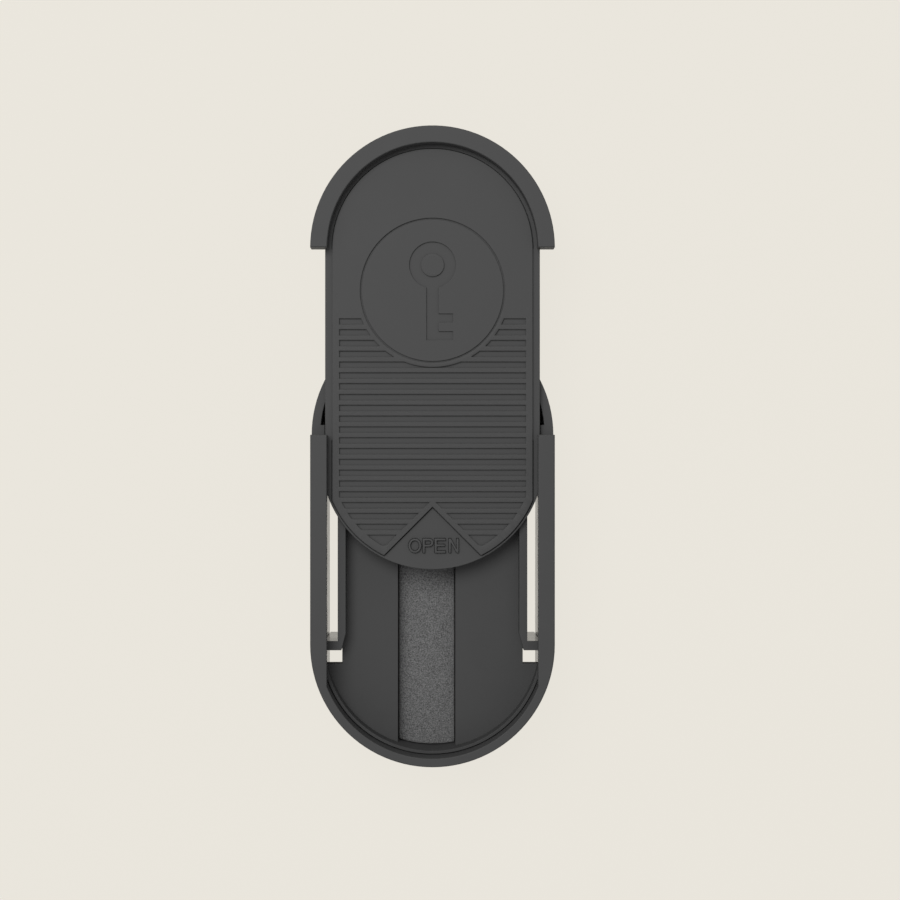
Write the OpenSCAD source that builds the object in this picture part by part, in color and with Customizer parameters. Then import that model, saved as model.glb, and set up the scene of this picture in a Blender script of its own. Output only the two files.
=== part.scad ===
// Magnetic key holder box with a sliding lid, drawn with the lid pushed open.
//
// Frame: the mounting face (the rubber pad on the back) lies in Z = 0 and +Z points at the person who
// opens the box. +Y runs along the box, the way the lid opens. The origin is the centre of the closed
// box. Sizes are in millimetres.
//
// From the back to the front the box is a stack, and each level is worked out from the one below it:
// rubber pad, rear cover, magnets, steel plate, key channel, key compartment, sliding lid, rail lips.

/* [Outline of the closed box] */
// Width across the long sides
body_w = 44; // [42:0.5:50]
// Distance between the centres of the two round ends
end_spacing = 37.8; // [36:0.2:46]
// Thickness of the long side walls below the rails' lips
side_wall = 2.4; // [1.8:0.1:3]
// Thickness of the round end walls
rim_wall = 1.6; // [1.2:0.1:2]

/* [Rails and lid] */
// How far a rail's lip reaches over the lid's edge
lip_reach = 0.6; // [0.4:0.1:0.8]
// Height of a rail's lip
lip_h = 2.2; // [1.6:0.1:3]
// Thickness of the lid's sliding flange
flange_t = 1.2; // [1:0.1:1.6]
// Height of the lid's ribbed plate above its flange
plate_h = 0.55; // [0.4:0.05:1.6]
// Width of the fine groove at the ribbed plate's foot, round both ends
foot_line = 0.2; // [0.1:0.05:0.3]
// Depth of the fine groove at the ribbed plate's foot
foot_line_depth = 0.4; // [0.2:0.05:0.6]
// How far the lower groove runs up the plate's straight sides
foot_line_rise = 3.2; // [0:0.1:6]
// Width of the flange left bare beside the ribbed plate
plate_margin = 1.35; // [1.2:0.05:2]
// Width of the flange left bare below the ribbed plate's round end
plate_end_margin = 0.55; // [0.4:0.05:1]
// Width of the lid's raised end ring
ring_w = 3.05; // [2.4:0.05:3.4]
// Width of the channel between the end ring and the ribbed plate
ring_channel = 0.85; // [0.7:0.05:1.6]
// How far the lid slides from closed to open
lid_travel = 33.6; // [32:0.2:34]
// Gap above and below the lid's flange in its rails
slide_clear = 0.1; // [0.05:0.05:0.2]
// Gap on each side of the lid's flange
side_clear = 0.15; // [0.1:0.05:0.3]
// Gap between the closed lid and the round rim
end_clear = 0.2; // [0.15:0.05:0.4]
// Gap between the closed lid's end ring and the rails' ends, and at the lid's stops
stop_clear = 0.1; // [0.05:0.05:0.2]

/* [Ribbed plate] */
// Number of grooves
groove_count = 21; // [12:1:21]
// Distance from groove to groove
groove_pitch = 1.955; // [1.7:0.005:2]
// Width of a groove
groove_w = 1.05; // [0.7:0.05:1.2]
// Depth of the grooves
groove_depth = 0.4; // [0.2:0.05:0.6]
// Half the length of the grooves
groove_half = 16.85; // [14:0.05:17]
// Land left between the grooves' ends and the plate's round lower edge
groove_margin = 1.42; // [1:0.02:2]
// Height of the upper edge of the first groove above the middle of the closed box
groove_top = 6.3; // [4:0.05:7]
// Land left between the grooves and the arrow-shaped cut
arrow_margin = 1; // [0.8:0.1:1.6]
// Corner radius of the pockets beside the arrow-shaped cut
pocket_r = 1; // [0.5:0.1:1.5]
// Height of the arrow-shaped cut's point above the plate's lower edge
arrow_h = 10.84; // [9:0.02:12]

/* [Round badge on the plate] */
// Radius of the badge's outer edge line
badge_r = 13.1; // [10:0.1:14]
// Height of the badge's centre above the middle of the closed box
badge_y = 11.4; // [10:0.1:13]
// Land left between the badge and the grooves
badge_margin = 0.8; // [0.5:0.1:1.2]
// Width of the badge's ring groove
badge_line = 0.3; // [0.2:0.05:0.5]
// Depth of the badge's lines
badge_depth = 0.3; // [0.2:0.05:0.4]

/* [Lid legs and stops] */
// Length of a leg along the box
leg_l = 2.8; // [2:0.1:3.4]
// How far the legs hang below the lid
leg_drop = 6; // [3:0.5:9]
// Gap on each side of a leg in its slot
leg_clear = 0.2; // [0.1:0.05:0.3]

/* [Key compartment] */
// Depth of the compartment's floor below the lid's seat
compartment_depth = 3.1; // [2.4:0.1:4]
// Width of the side slots that the legs run in
slot_w = 2.35; // [2.1:0.05:2.8]
// Width of the raised strip between a slot and the compartment
strip_w = 1.45; // [1.1:0.05:1.8]
// Distance from a slot's lower end to the round end's centre
slot_inset = 0.3; // [0.1:0.1:1]
// Width of the foot that closes a slot's lower end
foot_w = 1.7; // [1.3:0.1:2.2]
// How far the strip narrows towards its foot
foot_flare = 0.8; // [0.3:0.1:0.9]
// Length over which the strip narrows, above the slot's lower end
flare_l = 1.4; // [1:0.1:2]
// Length of the square through-holes below the feet
window_l = 2.8; // [2:0.1:3.2]
// Thickness of the compartment's floor
floor_t = 2; // [1.4:0.1:2.4]
// Thickness of the tray's wall at its round lower end
tray_rim = 0.55; // [0.5:0.05:0.9]
// Thickness of the tray's upper end wall
tray_end_wall = 1.55; // [1.2:0.05:2.4]
// Gap between the tray and the shell
tray_clear = 0.15; // [0.1:0.05:0.25]

/* [Key channel] */
// Width of the channel
channel_w = 10.55; // [9:0.05:12]
// Distance from the box's centre line to the channel's centre line, towards -X
channel_off = 1.075; // [0:0.005:2]
// Depth of the pad's face below the compartment's floor
channel_depth = 2.8; // [2:0.1:3.4]
// Thickness of the floor under the channel
channel_floor = 0.9; // [0.8:0.1:1.2]
// Thickness of the channel's side walls below the floor
channel_wall = 1.2; // [0.8:0.1:1.6]
// Thickness of the foam pad
key_pad_t = 1; // [0.8:0.1:1.2]
// Gap round the foam pad
key_pad_clear = 0.1; // [0.05:0.05:0.2]

/* [Back] */
// Thickness of the rubber grip pad
grip_t = 1; // [0.8:0.1:1.4]
// How far the grip pad stands proud of the back
grip_proud = 0.4; // [0.3:0.1:0.6]
// Width of the grip pad
grip_w = 28; // [20:0.5:30]
// Length of the grip pad
grip_l = 48; // [30:0.5:50]
// Corner radius of the grip pad
grip_r = 4; // [2:0.5:6]
// Gap round the grip pad in its recess
grip_clear = 0.2; // [0.1:0.05:0.3]
// Thickness of the rear cover
cover_t = 2; // [1.8:0.1:2.6]
// Gap round the rear cover
cover_clear = 0.2; // [0.1:0.05:0.3]
// Width of the shell's shelf that the tray rests on, inside the rim
shelf_w = 1.2; // [0.8:0.1:1.6]
// Thickness of the wall between the tray's bay and the end pocket
cross_wall = 1.8; // [1.4:0.1:2.4]
// How far the back is open below the square through-holes
window_relief = 1.9; // [1.5:0.1:2.2]

/* [Magnets] */
// Radius of a disc magnet
magnet_r = 5; // [4:0.25:5.75]
// Thickness of a disc magnet
magnet_t = 4; // [3:0.25:5]
// Plastic left between a magnet and the grip pad
magnet_web = 0.6; // [0.5:0.1:0.8]
// Gap between one row of magnet cups and the next
row_gap = 1.1; // [0.5:0.1:2]
// Gap between the upper row of magnet cups and the tray's end wall
row_top_gap = 1.75; // [1:0.05:4]
// Gap round a magnet in its cup
magnet_clear = 0.15; // [0.1:0.05:0.2]
// Wall of a magnet's cup
cup_wall = 0.8; // [0.6:0.1:1]
// Height of a magnet's cup above the cover's inner face
cup_h = 2; // [1:0.1:3]
// Thickness of the steel keeper plate
keeper_t = 1; // [0.8:0.1:1.5]
// How far the keeper plate reaches past the upper and lower magnets
keeper_reach = 0.6; // [0.2:0.1:0.8]
// Gap between the keeper plate and the tray's side walls
keeper_gap = 1.3; // [0.5:0.1:2]
// Corner radius of the keeper plate
keeper_r = 2; // [1:0.5:4]

/* [Screws] */
// Radius of a screw's shank
screw_r = 0.95; // [0.8:0.05:1.1]
// Radius of a screw's countersunk head
screw_head_r = 1.9; // [1.6:0.05:2.1]
// Height of a screw's countersunk head
screw_head_h = 1.1; // [0.9:0.05:1.3]
// Length of a screw
screw_l = 7.8; // [6:0.1:8]
// Gap between a screw and its pilot hole
pilot_clear = 0.05; // [0.05:0.05:0.1]
// Gap between a screw and the hole in the cover
cover_hole_clear = 0.15; // [0.1:0.05:0.3]
// Radius of the bosses that the screws go into
boss_r = 2.4; // [2.1:0.1:2.5]
// Thickness of the ribs that tie the shell's bosses to its wall
boss_rib = 1.6; // [1.2:0.1:2]
// Gap between the tray's bosses and the shell's shelf
boss_gap = 0.8; // [0.4:0.1:1.5]
// Angle of the screws from the X axis, about the round ends' centres
screw_angle = 46.5; // [44:0.5:50]

/* [Hidden] */
$fn = 96;
cut = 1;             // how far a cutting shape runs past the face it cuts

// Plan sizes
body_r = body_w / 2;
end_y = end_spacing / 2;
bay_x = body_r - side_wall;              // inner face of the long side walls
rim_r = body_r - rim_wall;               // inner face of the round ends
lip_x = bay_x - lip_reach;               // inner edge of the rails' lips
slot_x = bay_x - slot_w;                 // inner side of the side slots
compartment_x = slot_x - strip_w;        // side of the key compartment
compartment_r = rim_r - tray_clear - tray_rim;
slot_low = -(end_y - slot_inset);
slot_high = slot_low + leg_l + lid_travel + 2 * stop_clear;
foot_low = slot_low - foot_w;
window_low = foot_low - window_l;
back_slot_low = window_low - window_relief;
stop_end = end_y + sqrt(pow(rim_r, 2) - pow(bay_x - tray_clear, 2)) - stop_clear;
tray_top = end_y - tray_clear;
compartment_top = tray_top - tray_end_wall;
shelf_r = rim_r - shelf_w;
cover_r = rim_r - cover_clear;
cover_waist = slot_x - tray_clear;
channel_left = -channel_off - channel_w / 2;
screw_dist = shelf_r - boss_gap - boss_r;    // from the round ends' centres
cup_r = magnet_r + magnet_clear + cup_wall;
magnet_x = compartment_x / 2;
magnet_dy = 2 * cup_r + row_gap;
magnet_y = compartment_top - row_top_gap - cup_r - magnet_dy;

// Levels, from the mounting face up
back_z = grip_proud;
grip_seat_z = grip_t;
cover_z = back_z + cover_t;
magnet_z = grip_seat_z + magnet_web;
keeper_z = magnet_z + magnet_t;
trough_z = keeper_z + keeper_t;
pad_z = trough_z + channel_floor;
floor_z = pad_z + key_pad_t + channel_depth;
shelf_z = floor_z - floor_t;
seat_z = floor_z + compartment_depth;
flange_z = seat_z + slide_clear;
plate_z = flange_z + flange_t;
lip_z = plate_z + slide_clear;
top_z = lip_z + lip_h;
boss_top_z = back_z + screw_l + cut + 1;

// Lid sizes, in the closed position
flange_x = bay_x - side_clear;
flange_r = rim_r - end_clear;
plate_x = flange_x - plate_margin;
plate_end_r = flange_r - plate_end_margin;
ring_r = body_r - ring_w;
plate_top_r = ring_r - ring_channel;
ring_y = end_y + stop_clear;
groove_r = plate_end_r - groove_margin;
arrow_y = -end_y - plate_end_r + arrow_h;
leg_y = slot_low + stop_clear;
leg_x = slot_x + leg_clear;

plastic = "#4b4c4d";
far = 4 * body_r + end_spacing;          // longer than the box in any direction

// ---------------------------------------------------------------- plan outlines

// Two round ends of radius r joined by straight sides.
module stadium(r) {
    for (side = [-1, 1]) translate([0, side * end_y]) circle(r);
    square([2 * r, end_spacing], center = true);
}

// Everything between two heights on the plan.
module band(low, high) {
    translate([-far / 2, low]) square([far, high - low]);
}

// A rectangle with round corners, centred on the origin.
module round_rect(w, l, r) {
    square([w - 2 * r, l], center = true);
    square([w, l - 2 * r], center = true);
    for (sx = [-1, 1], sy = [-1, 1]) translate([sx * (w / 2 - r), sy * (l / 2 - r)]) circle(r);
}

// A plan outline raised from one level to another.
module slab(low, high) {
    translate([0, 0, low]) linear_extrude(high - low) children();
}

// The same shape on the left and on the right.
module both_sides() {
    children();
    mirror([1, 0, 0]) children();
}

// The space beside the strips, where the legs run, from one height to another.
module side_slots(low, high, inner = slot_x, outer = bay_x) {
    both_sides() translate([inner, low]) square([outer - inner, high - low]);
}

// The places of the screws: sy = 1 at the upper end, -1 at the lower end.
module at_screws(sy) {
    for (sx = [-1, 1])
        translate([sx * screw_dist * cos(screw_angle), sy * (end_y + screw_dist * sin(screw_angle)), 0])
            children();
}

// ---------------------------------------------------------------- base_shell

// Inside of the shell above the tray's shelf, under the lips.
module bay_outline(half_width = bay_x) {
    intersection() {
        stadium(rim_r);
        band(-far / 2, end_y);
        square([2 * half_width, far], center = true);
    }
}

// Recess in the back that the rear cover drops into.
module cover_recess_outline() {
    difference() {
        stadium(rim_r);
        side_slots(back_slot_low, slot_high, bay_x, far / 2);
    }
}

module end_pocket_outline() {
    intersection() {
        stadium(rim_r);
        band(end_y + cross_wall, far / 2);
    }
}

// Bosses for the screws in the end pocket. One rib ties a boss to the round wall and one holds up the
// wall between the pocket and the tray.
module pocket_bosses() {
    slab(cover_z, boss_top_z) both_sides() {
        translate([0, end_y]) rotate(screw_angle) {
            translate([screw_dist, 0]) circle(boss_r);
            translate([screw_dist, -boss_rib / 2]) square([rim_r + rim_wall / 2 - screw_dist, boss_rib]);
        }
        translate([screw_dist * cos(screw_angle) - boss_rib / 2, end_y + cross_wall / 2])
            square([boss_rib, screw_dist * sin(screw_angle) - cross_wall / 2]);
    }
}

module base_shell() {
    color(plastic) difference() {
        union() {
            difference() {
                union() {
                    slab(back_z, seat_z) stadium(body_r);
                    slab(seat_z, top_z) intersection() {
                        stadium(body_r);
                        band(-far / 2, end_y);
                    }
                }
                slab(back_z - cut, cover_z) cover_recess_outline();
                // room for the magnets, inside the tray's shelf
                slab(cover_z - cut, shelf_z + cut) intersection() {
                    stadium(shelf_r);
                    band(-far / 2, end_y);
                }
                slab(shelf_z, lip_z) bay_outline();
                slab(lip_z - cut, top_z + cut) bay_outline(lip_x);
                slab(cover_z - cut, seat_z + cut) end_pocket_outline();
                // slots for the lid's legs, and the notches that their stop blocks drop into
                slab(back_z - cut, seat_z)
                    side_slots(back_slot_low, end_y + cross_wall + cut);
                // the channel's trough runs out over the shelf
                slab(trough_z - slide_clear, shelf_z + cut) intersection() {
                    bay_outline();
                    translate([channel_left - channel_wall - tray_clear, -far / 2])
                        square([channel_w + 2 * (channel_wall + tray_clear), far / 2]);
                }
            }
            pocket_bosses();
        }
        slab(cover_z - cut, boss_top_z - cut) at_screws(1) circle(screw_r + pilot_clear);
    }
}

// ---------------------------------------------------------------- key_tray

module tray_outline() {
    difference() {
        intersection() {
            stadium(rim_r - tray_clear);
            band(-far / 2, tray_top);
            square([2 * (bay_x - tray_clear), far], center = true);
        }
        side_slots(slot_low, far / 2, slot_x, far / 2);
    }
}

// Straight part beside the slots, narrowing strips, and the round lower end.
module compartment_outline() {
    polygon([
        [compartment_x, compartment_top], [compartment_x, slot_low + flare_l],
        [compartment_x + foot_flare, foot_low], [-compartment_x - foot_flare, foot_low],
        [-compartment_x, slot_low + flare_l], [-compartment_x, compartment_top]
    ]);
    intersection() {
        stadium(compartment_r);
        band(-far / 2, foot_low);
    }
}

module channel_outline(grow = 0) {
    intersection() {
        stadium(compartment_r + min(grow, tray_rim));
        translate([channel_left - grow, -far / 2]) square([channel_w + 2 * grow, far / 2]);
    }
    translate([channel_left - grow, -cut])
        square([channel_w + 2 * grow, compartment_top + cut + min(grow, tray_end_wall)]);
}

module key_tray() {
    color(plastic) difference() {
        union() {
            slab(shelf_z, seat_z) tray_outline();
            // side and end walls that stand on the rear cover
            slab(cover_z, shelf_z + cut) difference() {
                translate([-slot_x, foot_low]) square([2 * slot_x, tray_top - foot_low]);
                translate([-compartment_x, foot_low - cut])
                    square([2 * compartment_x, compartment_top - foot_low + cut]);
            }
            // feet that close the slots' lower ends
            slab(back_z, shelf_z + cut)
                side_slots(foot_low, slot_low, slot_x, bay_x - tray_clear);
            slab(trough_z, shelf_z + cut) channel_outline(channel_wall);
            slab(cover_z, shelf_z + cut) at_screws(-1) circle(boss_r);
        }
        slab(floor_z, seat_z + cut) compartment_outline();
        slab(pad_z, seat_z + cut) channel_outline();
        slab(shelf_z - cut, floor_z + cut)
            side_slots(window_low, foot_low, compartment_x + foot_flare, far / 2);
        slab(cover_z - cut, shelf_z) at_screws(-1) circle(screw_r + pilot_clear);
    }
}

module key_pad() {
    color("#5d5e5f") slab(pad_z, pad_z + key_pad_t) intersection() {
        channel_outline();
        stadium(compartment_r - key_pad_clear);
        translate([channel_left + key_pad_clear, -far / 2])
            square([channel_w - 2 * key_pad_clear, far / 2 + compartment_top - key_pad_clear]);
    }
}

// ---------------------------------------------------------------- back

module at_magnets() {
    for (sx = [-1, 1], row = [-1, 0, 1])
        translate([sx * magnet_x, magnet_y + row * magnet_dy, 0]) children();
}

module rear_cover() {
    color(plastic) difference() {
        union() {
            slab(back_z, cover_z) difference() {
                stadium(cover_r);
                side_slots(back_slot_low, slot_high, cover_waist, far / 2);
            }
            slab(back_z + grip_t, cover_z + cup_h) at_magnets() circle(cup_r);
        }
        slab(magnet_z, far) at_magnets() circle(magnet_r + magnet_clear);
        slab(back_z - cut, grip_seat_z)
            round_rect(grip_w + 2 * grip_clear, grip_l + 2 * grip_clear, grip_r + grip_clear);
        for (sy = [-1, 1]) at_screws(sy) {
            slab(back_z - cut, cover_z + cut) circle(screw_r + cover_hole_clear);
            translate([0, 0, back_z])
                cylinder(screw_head_h, screw_head_r + cover_hole_clear, screw_r + cover_hole_clear);
        }
    }
}

module grip_pad() {
    color("#262627") slab(0, grip_t) round_rect(grip_w, grip_l, grip_r);
}

module keeper_plate() {
    half_w = compartment_x - keeper_gap;
    half_l = magnet_dy + magnet_r + keeper_reach;
    color("silver") translate([0, magnet_y, 0])
        slab(keeper_z, keeper_z + keeper_t) round_rect(2 * half_w, 2 * half_l, keeper_r);
}

// A nickel-plated disc magnet: side is -1 or 1, row is -1, 0 or 1 from the bottom up.
module magnet(side, row) {
    color("gainsboro") translate([side * magnet_x, magnet_y + row * magnet_dy, magnet_z])
        cylinder(magnet_t, magnet_r, magnet_r);
}

module cover_screws() {
    recess_w = 0.5;
    recess_l = 2.2;
    recess_depth = 0.6;
    color("silver") for (sy = [-1, 1]) at_screws(sy) translate([0, 0, back_z]) difference() {
        union() {
            cylinder(screw_head_h, screw_head_r, screw_r);
            cylinder(screw_l, screw_r, screw_r);
        }
        for (turn = [0, 90]) rotate(turn) translate([-recess_l / 2, -recess_w / 2, -cut])
            cube([recess_l, recess_w, recess_depth + cut]);
    }
}

// Block that closes a slot's upper end. It goes in from the back once the lid is in its rails, stands
// on the rear cover, and bears on the round end wall when the lid is pulled against it.
module lid_stop(side) {
    color(plastic) mirror([side < 0 ? 1 : 0, 0, 0]) slab(cover_z, seat_z - slide_clear)
        translate([slot_x + tray_clear, slot_high])
            square([slot_w - 2 * tray_clear, stop_end - slot_high]);
}

// ---------------------------------------------------------------- slide_lid

module flange_outline() {
    intersection() {
        stadium(flange_r);
        square([2 * flange_x, far], center = true);
        band(-far / 2, ring_y + cut);
    }
    intersection() {
        stadium(body_r);
        band(ring_y, far / 2);
    }
}

module ring_outline() {
    difference() {
        intersection() {
            stadium(body_r);
            band(ring_y, far / 2);
        }
        stadium(ring_r);
    }
}

// The 45 degree arrow cut at the plate's lower end, grown by a margin.
module arrow_outline(margin = 0) {
    tip = arrow_y + margin * sqrt(2);
    polygon([[0, tip], [tip + far, -far], [-tip - far, -far]]);
}

// The ribbed plate's outline, grown by a margin.
module plate_outline(margin = 0) {
    half_w = plate_x + margin;
    difference() {
        intersection() {
            square([2 * half_w, far], center = true);
            union() {
                intersection() {
                    stadium(plate_end_r + margin);
                    band(-far / 2, 0);
                }
                intersection() {
                    stadium(plate_top_r + margin);
                    band(0, far / 2);
                }
                translate([-half_w, 0]) square([2 * half_w, end_y]);
            }
            stadium(plate_end_r + margin);
        }
        arrow_outline(-margin);
    }
}

// The last groove's place: a pocket down to the corner between the round edge and the arrow cut, which
// a circle of pocket_r rounds. Its centre is that radius from both.
module pockets_outline() {
    drop = arrow_y + (arrow_margin + pocket_r) * sqrt(2) + end_y;
    reach = groove_r - pocket_r;
    mid_x = (drop + sqrt(2 * pow(reach, 2) - pow(drop, 2))) / 2;
    mid_y = drop - mid_x - end_y;
    on_cut = [mid_x - pocket_r / sqrt(2), mid_y - pocket_r / sqrt(2)];
    on_edge = [mid_x * groove_r / reach, (mid_y + end_y) * groove_r / reach - end_y];
    difference() {
        intersection() {
            stadium(groove_r);
            band(-far / 2, groove_top - (groove_count - 1) * groove_pitch);
        }
        arrow_outline(arrow_margin);
        both_sides() polygon([on_cut, on_edge, on_edge - [0, 2 * pocket_r], on_cut - [0, 2 * pocket_r]]);
    }
    both_sides() translate([mid_x, mid_y]) circle(pocket_r);
}

module grooves_outline() {
    pockets_outline();
    difference() {
        intersection() {
            for (row = [0 : groove_count - 2])
                translate([-groove_half, groove_top - groove_w - row * groove_pitch])
                    square([2 * groove_half, groove_w]);
            stadium(groove_r);
        }
        arrow_outline(arrow_margin);
        translate([0, badge_y]) circle(badge_r + badge_margin);
    }
}

// A ring line with a plain key sign in it: a round bow, a shank and two teeth.
module badge_outline() {
    bow_r = 4.2;
    bow_hole_r = 2.1;
    bow_y = 4.6;
    shank_w = 2.2;
    shank_low = -9;
    tooth_l = 2.6;
    tooth_w = 1.6;
    difference() {
        circle(badge_r);
        circle(badge_r - badge_line);
    }
    difference() {
        union() {
            translate([0, bow_y]) circle(bow_r);
            translate([-shank_w / 2, shank_low]) square([shank_w, bow_y - shank_low]);
            for (tooth = [0, 1]) translate([0, shank_low + tooth * 2 * tooth_w])
                square([shank_w / 2 + tooth_l, tooth_w]);
        }
        translate([0, bow_y]) circle(bow_hole_r);
    }
}

// Where the fine groove runs at the plate's foot: round its upper end and round its lower end.
module foot_line_outline() {
    intersection() {
        plate_outline(foot_line);
        union() {
            band(end_y, far / 2);
            band(-far / 2, foot_line_rise - end_y);
        }
    }
}

module slide_lid() {
    color(plastic) translate([0, lid_travel, 0]) {
        difference() {
            union() {
                difference() {
                    slab(flange_z, plate_z) flange_outline();
                    slab(plate_z - foot_line_depth, plate_z + cut) foot_line_outline();
                }
                slab(plate_z - cut / 2, top_z) ring_outline();
                slab(flange_z, plate_z + plate_h) plate_outline();
                slab(flange_z - leg_drop, flange_z + cut / 2) both_sides()
                    translate([leg_x, leg_y]) square([slot_w - 2 * leg_clear, leg_l]);
            }
            slab(plate_z + plate_h - groove_depth, top_z) grooves_outline();
            slab(plate_z + plate_h - badge_depth, top_z) translate([0, badge_y]) badge_outline();
        }
    }
}

base_shell();
key_tray();
key_pad();
rear_cover();
grip_pad();
keeper_plate();
cover_screws();
magnet(-1, 1);  // magnet_upper_left
magnet(1, 1);  // magnet_upper_right
magnet(-1, 0);  // magnet_middle_left
magnet(1, 0);  // magnet_middle_right
magnet(-1, -1);  // magnet_lower_left
magnet(1, -1);  // magnet_lower_right
lid_stop(-1);  // lid_stop_left
lid_stop(1);  // lid_stop_right
slide_lid();
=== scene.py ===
"""A magnetic key holder box with a sliding lid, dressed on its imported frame.

The box lies on its rubber face and is seen from straight above, with the lid slid open. Lengths in the
code are in millimetres unless a name says otherwise, and MM turns them into metres for Blender.
"""
from __future__ import annotations

import logging
import math
from dataclasses import dataclass
from enum import Enum
from typing import Any, Callable

import bmesh
import bpy
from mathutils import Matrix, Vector


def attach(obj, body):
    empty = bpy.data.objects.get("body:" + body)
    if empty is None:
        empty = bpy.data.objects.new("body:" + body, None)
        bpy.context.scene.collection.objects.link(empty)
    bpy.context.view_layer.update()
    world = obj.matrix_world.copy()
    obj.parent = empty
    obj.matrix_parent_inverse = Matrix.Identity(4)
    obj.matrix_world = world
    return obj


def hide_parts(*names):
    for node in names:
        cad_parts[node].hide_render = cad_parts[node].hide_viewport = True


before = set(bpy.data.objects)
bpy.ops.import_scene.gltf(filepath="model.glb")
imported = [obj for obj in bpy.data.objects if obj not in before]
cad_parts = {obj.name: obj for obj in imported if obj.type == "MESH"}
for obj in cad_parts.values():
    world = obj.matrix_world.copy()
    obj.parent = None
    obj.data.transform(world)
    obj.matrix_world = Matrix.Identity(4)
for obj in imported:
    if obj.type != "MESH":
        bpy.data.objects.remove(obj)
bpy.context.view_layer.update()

logging.basicConfig(level=logging.INFO, format="%(message)s")
log = logging.getLogger("key_box")

MM = 0.001
WELD_MM = 0.0005  # corners closer than this are one
NEAR_MM = 0.05  # how far off its place an edge or face may lie and still count as there
FLAT_ANGLE = math.radians(0.4)  # triangles that lean less than this against each other are one face
FILLET_ANGLE = math.radians(35)  # outer edges sharper than this are rounded
SHARP_ANGLE = math.radians(40)  # edges sharper than this stay sharp in the shading
ARC_STEP = 0.45  # distance between points on a plain arc
CORNER_STEP = 0.15  # the same on a small corner
LETTER_STEP = 0.12  # the same on a letter

Outline = list[tuple[float, float]]
Stop = tuple[float, tuple[float, float, float, float]]
Where = Callable[[Vector, Vector], bool]


# ------------------------------------------------------------------ colour and node helpers


def linear(hex_colour: str) -> tuple[float, float, float, float]:
    """Turns an sRGB hex colour into linear RGBA.

    Args:
        hex_colour: six hex digits, such as "4f5051".

    Returns:
        Red, green, blue and alpha, from 0 to 1.
    """
    channels = [int(hex_colour[i:i + 2], 16) / 255 for i in (0, 2, 4)]
    return (*[c / 12.92 if c <= 0.04045 else ((c + 0.055) / 1.055) ** 2.4 for c in channels], 1.0)


def grey(level: float) -> tuple[float, float, float, float]:
    """A neutral linear colour of one level, for masks and factors."""
    return (level, level, level, 1.0)


def add_node(
    tree: bpy.types.NodeTree, kind: str, settings: dict[str, Any] | None = None,
    stops: tuple[Stop, ...] = (), **inputs: Any
) -> bpy.types.Node:
    """Adds a shader node with its settings and links.

    Args:
        tree: the node tree.
        kind: the node's type, such as "ShaderNodeTexNoise".
        settings: attributes of the node to set.
        stops: place and linear colour of a colour ramp's two ends, from left to right.
        inputs: values or output sockets for its inputs, by name with _ for a space, or by number as in_0.

    Returns:
        The new node.
    """
    node = tree.nodes.new(kind)
    for name, value in (settings or {}).items():
        setattr(node, name, value)
    for name, value in inputs.items():
        key: Any = int(name[3:]) if name.startswith("in_") else name.replace("_", " ")
        socket = node.inputs[key]
        if isinstance(value, bpy.types.NodeSocket):
            tree.links.new(value, socket)
        else:
            socket.default_value = value
    for index, (place, colour) in enumerate(stops):
        node.color_ramp.elements[index].position = place
        node.color_ramp.elements[index].color = colour
    return node


def new_material(name: str) -> tuple[bpy.types.Material, bpy.types.NodeTree, bpy.types.Node]:
    """Makes an empty node material.

    Args:
        name: the material's name.

    Returns:
        The material, its tree and its Principled shader, which is linked to the output.
    """
    material = bpy.data.materials.new(name)
    material.use_nodes = True
    tree = material.node_tree
    tree.nodes.clear()
    shader = add_node(tree, "ShaderNodeBsdfPrincipled")
    add_node(tree, "ShaderNodeOutputMaterial", Surface=shader.outputs["BSDF"])
    return material, tree, shader


def pattern_scale(size_mm: float) -> float:
    """The scale of a texture on Object coordinates whose features are size_mm wide."""
    return 1 / (size_mm * MM)


# ------------------------------------------------------------------ finishes


@dataclass(frozen=True)
class MouldedABS:
    """Dark grey ABS from a spark-eroded mould.

    The eye gets an even satin grey whose highlights are wide and dull, a little paler where it is handled.
    The real grain is some 0.03 mm wide. It is drawn 0.16 mm wide, as coarse as it needs to be to break up
    a highlight at all.
    """

    name: str
    colour: str = "404040"
    worn: str = "444444"
    handled: tuple[float, float] = (0.3, 0.75)
    cloud_mm: float = 9.0
    roughness: float = 0.62
    roughness_range: tuple[float, float] = (-0.04, 0.05)
    grain_mm: float = 0.16
    grain_depth_mm: float = 0.004
    grain_strength: float = 0.35
    ior: float = 1.54
    specular: float = 0.28

    def material(self) -> bpy.types.Material:
        """Builds the material.

        Returns:
            The material.
        """
        material, tree, shader = new_material(self.name)
        place = add_node(tree, "ShaderNodeTexCoord").outputs["Object"]
        cloud = add_node(tree, "ShaderNodeTexNoise", Vector=place, Scale=pattern_scale(self.cloud_mm),
                         Detail=3.0, Roughness=0.6).outputs["Fac"]
        colour = add_node(tree, "ShaderNodeValToRGB", Fac=cloud, stops=(
            (self.handled[0], linear(self.colour)), (self.handled[1], linear(self.worn))))
        tree.links.new(colour.outputs["Color"], shader.inputs["Base Color"])
        grain = add_node(tree, "ShaderNodeTexNoise", Vector=place, Scale=pattern_scale(self.grain_mm),
                         Detail=2.0, Roughness=0.7)
        bump = add_node(tree, "ShaderNodeBump", Strength=self.grain_strength,
                        Distance=self.grain_depth_mm * MM, Height=grain.outputs["Fac"])
        tree.links.new(bump.outputs["Normal"], shader.inputs["Normal"])
        smooth, rough = (self.roughness + change for change in self.roughness_range)
        sheen = add_node(tree, "ShaderNodeValToRGB", Fac=cloud,
                         stops=((0.3, grey(smooth)), (0.7, grey(rough))))
        tree.links.new(sheen.outputs["Color"], shader.inputs["Roughness"])
        shader.inputs["IOR"].default_value = self.ior
        shader.inputs["Specular IOR Level"].default_value = self.specular
        return material


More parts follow.
